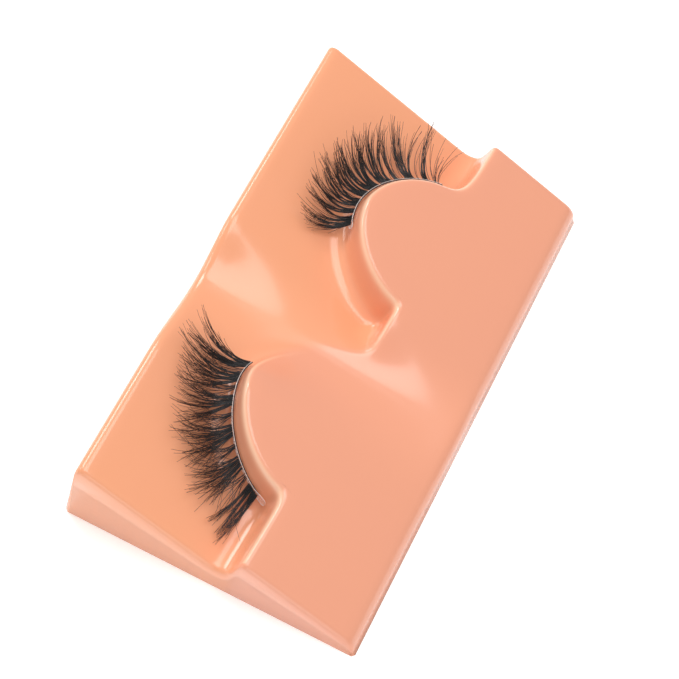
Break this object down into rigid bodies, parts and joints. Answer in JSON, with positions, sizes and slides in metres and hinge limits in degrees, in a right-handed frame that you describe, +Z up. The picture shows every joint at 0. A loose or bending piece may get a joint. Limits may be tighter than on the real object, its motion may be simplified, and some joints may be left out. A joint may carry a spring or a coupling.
{
  "type": "false eyelash strip pair on tray",
  "caption": "Pair of false eyelash strips, each a clear band with a fringe of black hair, glued to the arches of a formed plastic tray with two shingled treads.",
  "frame": {"origin": "middle of the base of the tray, on the surface that it stands on", "axes": "+X along the row of shingles, down the treads; +Y across the tray, from the lower strip to the upper strip; +Z up"},
  "size_m": [0.062, 0.112, 0.0224],
  "materials": {
    "peach_sheet": "glossy formed plastic sheet in peach",
    "clear_band": "clear flexible lash band with fine knots",
    "black_hair": "fine curled black fibre, semi-gloss"
  },
  "bodies": {
    "root": {"tray": "peach_sheet", "upper_band": "clear_band", "lower_band": "clear_band", "upper_fringe": "black_hair", "lower_fringe": "black_hair"}
  },
  "joints": []
}
